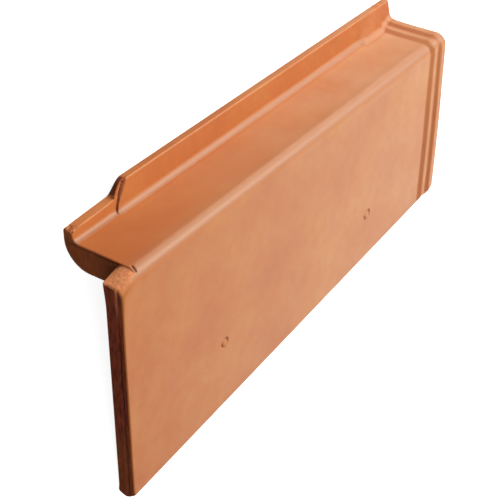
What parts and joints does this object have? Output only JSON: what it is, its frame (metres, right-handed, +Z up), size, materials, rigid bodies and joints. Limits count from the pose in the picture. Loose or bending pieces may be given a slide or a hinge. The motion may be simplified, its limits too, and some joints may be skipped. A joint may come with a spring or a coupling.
{
  "type": "verge tile",
  "caption": "L-shaped fired-clay verge tile: a hanging flap with a sloping lower edge, a top flange with a stepped upstand rib, and raised bands round one end.",
  "frame": {"origin": "middle of the tile's outline on the floor that it lies on", "axes": "+X along the tile from its plain end to its banded end, +Y from the flap's lower edge towards the rib, +Z up from the floor"},
  "size_m": [0.42, 0.2092, 0.0625],
  "materials": {
    "fired_clay": "matt unglazed"
  },
  "bodies": {
    "root": {"verge_tile": "fired_clay"}
  },
  "joints": []
}
